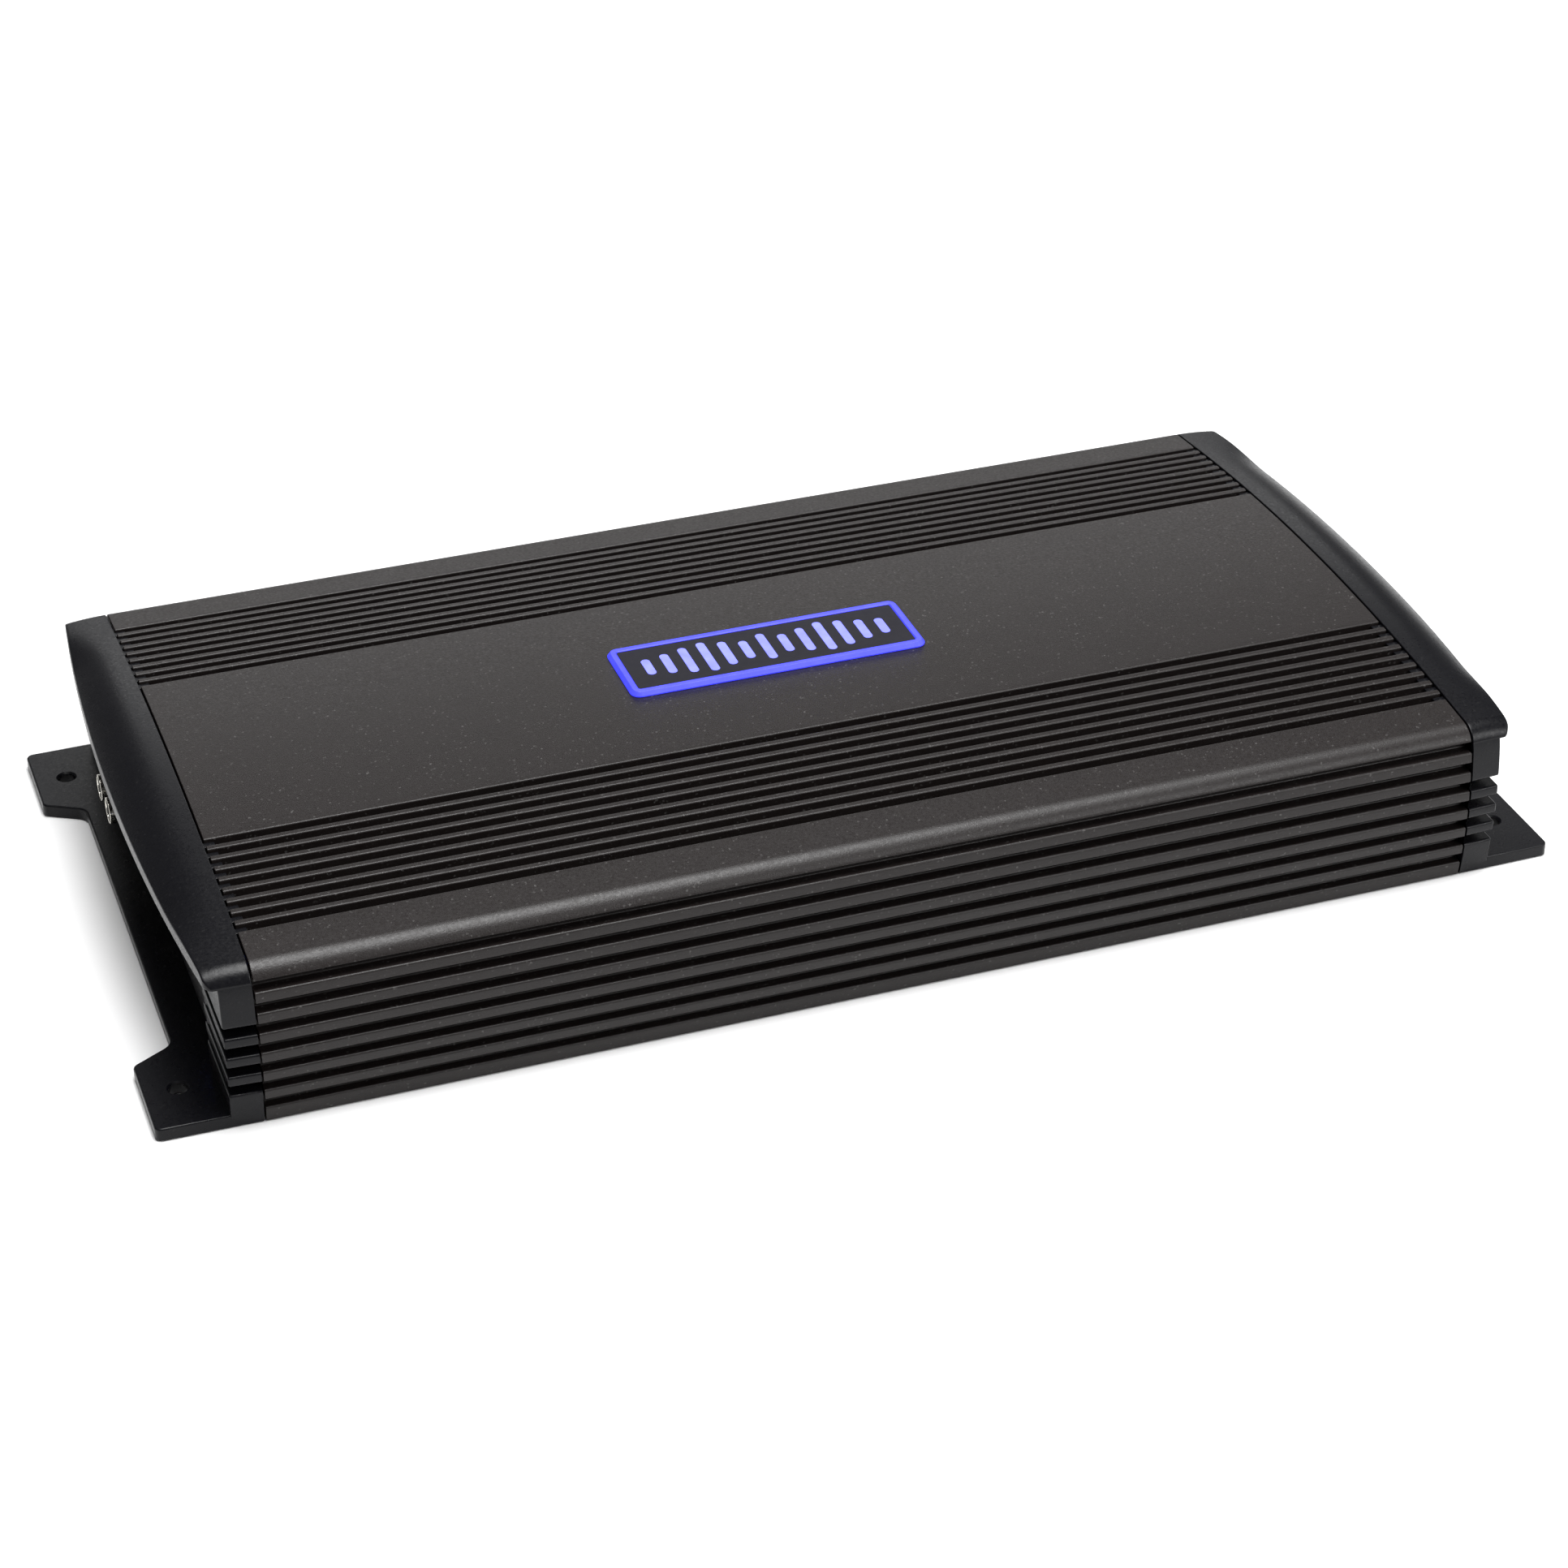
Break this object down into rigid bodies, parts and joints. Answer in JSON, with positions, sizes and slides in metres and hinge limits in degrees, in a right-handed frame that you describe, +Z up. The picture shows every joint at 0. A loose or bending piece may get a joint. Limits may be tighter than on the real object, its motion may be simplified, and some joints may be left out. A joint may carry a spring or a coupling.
{
  "type": "car_amplifier",
  "caption": "Long low car audio amplifier: black finned heatsink body with a flat centre panel and lit badge frame, hooded end caps over connector bays, and bolt-down corner tabs.",
  "frame": {"origin": "centre of the bounding box's underside", "axes": "+X along the length towards the power terminals, +Y to the back, +Z up"},
  "size_m": [0.4312, 0.222, 0.0591],
  "materials": {
    "extrusion": "satin",
    "casting": "satin",
    "plate": "matte",
    "panel": "satin",
    "light_frame": null,
    "insert": null,
    "led_board": null,
    "board": null,
    "nickel": null,
    "plastic": null,
    "knob": null,
    "led_blue": null,
    "led_red": null,
    "terminal": null,
    "set_screw": null,
    "fuse": null,
    "copper": null,
    "sleeve": null,
    "epoxy": null,
    "steel": null,
    "screw": "satin"
  },
  "bodies": {
    "chassis": {"heatsink": "extrusion", "left_end_cap": "casting", "right_end_cap": "casting", "bottom_plate": "plate", "control_panel": "panel", "power_panel": "panel", "badge_light_frame": "light_frame", "badge_insert": "insert", "badge_led_board": "led_board", "main_board": "board", "rca_sleeve_left": "nickel", "rca_sleeve_right": "nickel", "rca_housing": "plastic", "level_pot": "plastic", "subsonic_pot": "plastic", "low_pass_pot": "plastic", "bass_boost_pot": "plastic", "phase_switch_body": "plastic", "remote_port": "plastic", "power_led": "led_blue", "protect_led": "led_red", "power_terminal_block": "terminal", "speaker_terminal_block": "terminal", "fuse_holder": "terminal", "power_toroid_a": "copper", "power_toroid_b": "copper", "output_choke": "copper", "input_capacitor_a": "sleeve", "input_capacitor_b": "sleeve", "rail_capacitor_a": "sleeve", "rail_capacitor_b": "sleeve", "transistor_front_1": "epoxy", "transistor_front_2": "epoxy", "transistor_front_3": "epoxy", "transistor_back_1": "epoxy", "transistor_back_2": "epoxy", "transistor_back_3": "epoxy", "clamp_bar_front": "steel", "clamp_bar_back": "steel", "bottom_screw_1": "screw", "bottom_screw_2": "screw", "bottom_screw_3": "screw", "bottom_screw_4": "screw", "panel_screw_left_front": "screw", "panel_screw_left_back": "screw", "panel_screw_right_front": "screw", "panel_screw_right_back": "screw"},
    "level_knob_body": {"level_knob": "knob"},
    "subsonic_knob_body": {"subsonic_knob": "knob"},
    "low_pass_knob_body": {"low_pass_knob": "knob"},
    "bass_boost_knob_body": {"bass_boost_knob": "knob"},
    "phase_switch_slider_body": {"phase_switch_slider": "knob"},
    "battery_set_screw_body": {"battery_set_screw": "set_screw"},
    "remote_set_screw_body": {"remote_set_screw": "set_screw"},
    "ground_set_screw_body": {"ground_set_screw": "set_screw"},
    "speaker_plus_set_screw_body": {"speaker_plus_set_screw": "set_screw"},
    "speaker_minus_set_screw_body": {"speaker_minus_set_screw": "set_screw"},
    "fuse_a_body": {"fuse_a": "fuse"},
    "fuse_b_body": {"fuse_b": "fuse"}
  },
  "joints": [
    {"name": "level_turn", "type": "hinge", "parent": "chassis", "child": "level_knob_body", "pos_m": [-0.1924, 0.012, 0.024], "axis": [-1, 0, 0], "range_deg": [-150, 150]},
    {"name": "subsonic_turn", "type": "hinge", "parent": "chassis", "child": "subsonic_knob_body", "pos_m": [-0.1924, -0.004, 0.024], "axis": [-1, 0, 0], "range_deg": [-150, 150]},
    {"name": "low_pass_turn", "type": "hinge", "parent": "chassis", "child": "low_pass_knob_body", "pos_m": [-0.1924, -0.02, 0.024], "axis": [-1, 0, 0], "range_deg": [-150, 150]},
    {"name": "bass_boost_turn", "type": "hinge", "parent": "chassis", "child": "bass_boost_knob_body", "pos_m": [-0.1924, -0.036, 0.024], "axis": [-1, 0, 0], "range_deg": [-150, 150]},
    {"name": "phase_switch_slide", "type": "slide", "parent": "chassis", "child": "phase_switch_slider_body", "axis": [0, 1, 0], "range_m": [0, 0.003]},
    {"name": "battery_screw_turn", "type": "hinge", "parent": "chassis", "child": "battery_set_screw_body", "pos_m": [0.196, -0.058, 0.0252], "axis": [0, 0, 1], "range_deg": [0, 1110]},
    {"name": "remote_screw_turn", "type": "hinge", "parent": "chassis", "child": "remote_set_screw_body", "pos_m": [0.196, -0.043, 0.0252], "axis": [0, 0, 1], "range_deg": [0, 1110]},
    {"name": "ground_screw_turn", "type": "hinge", "parent": "chassis", "child": "ground_set_screw_body", "pos_m": [0.196, -0.028, 0.0252], "axis": [0, 0, 1], "range_deg": [0, 1110]},
    {"name": "speaker_plus_screw_turn", "type": "hinge", "parent": "chassis", "child": "speaker_plus_set_screw_body", "pos_m": [0.196, 0.044, 0.0252], "axis": [0, 0, 1], "range_deg": [0, 1110]},
    {"name": "speaker_minus_screw_turn", "type": "hinge", "parent": "chassis", "child": "speaker_minus_set_screw_body", "pos_m": [0.196, 0.059, 0.0252], "axis": [0, 0, 1], "range_deg": [0, 1110]},
    {"name": "fuse_a_pull", "type": "slide", "parent": "chassis", "child": "fuse_a_body", "axis": [1, 0, 0], "range_m": [0, 0.01]},
    {"name": "fuse_b_pull", "type": "slide", "parent": "chassis", "child": "fuse_b_body", "axis": [1, 0, 0], "range_m": [0, 0.01]}
  ]
}
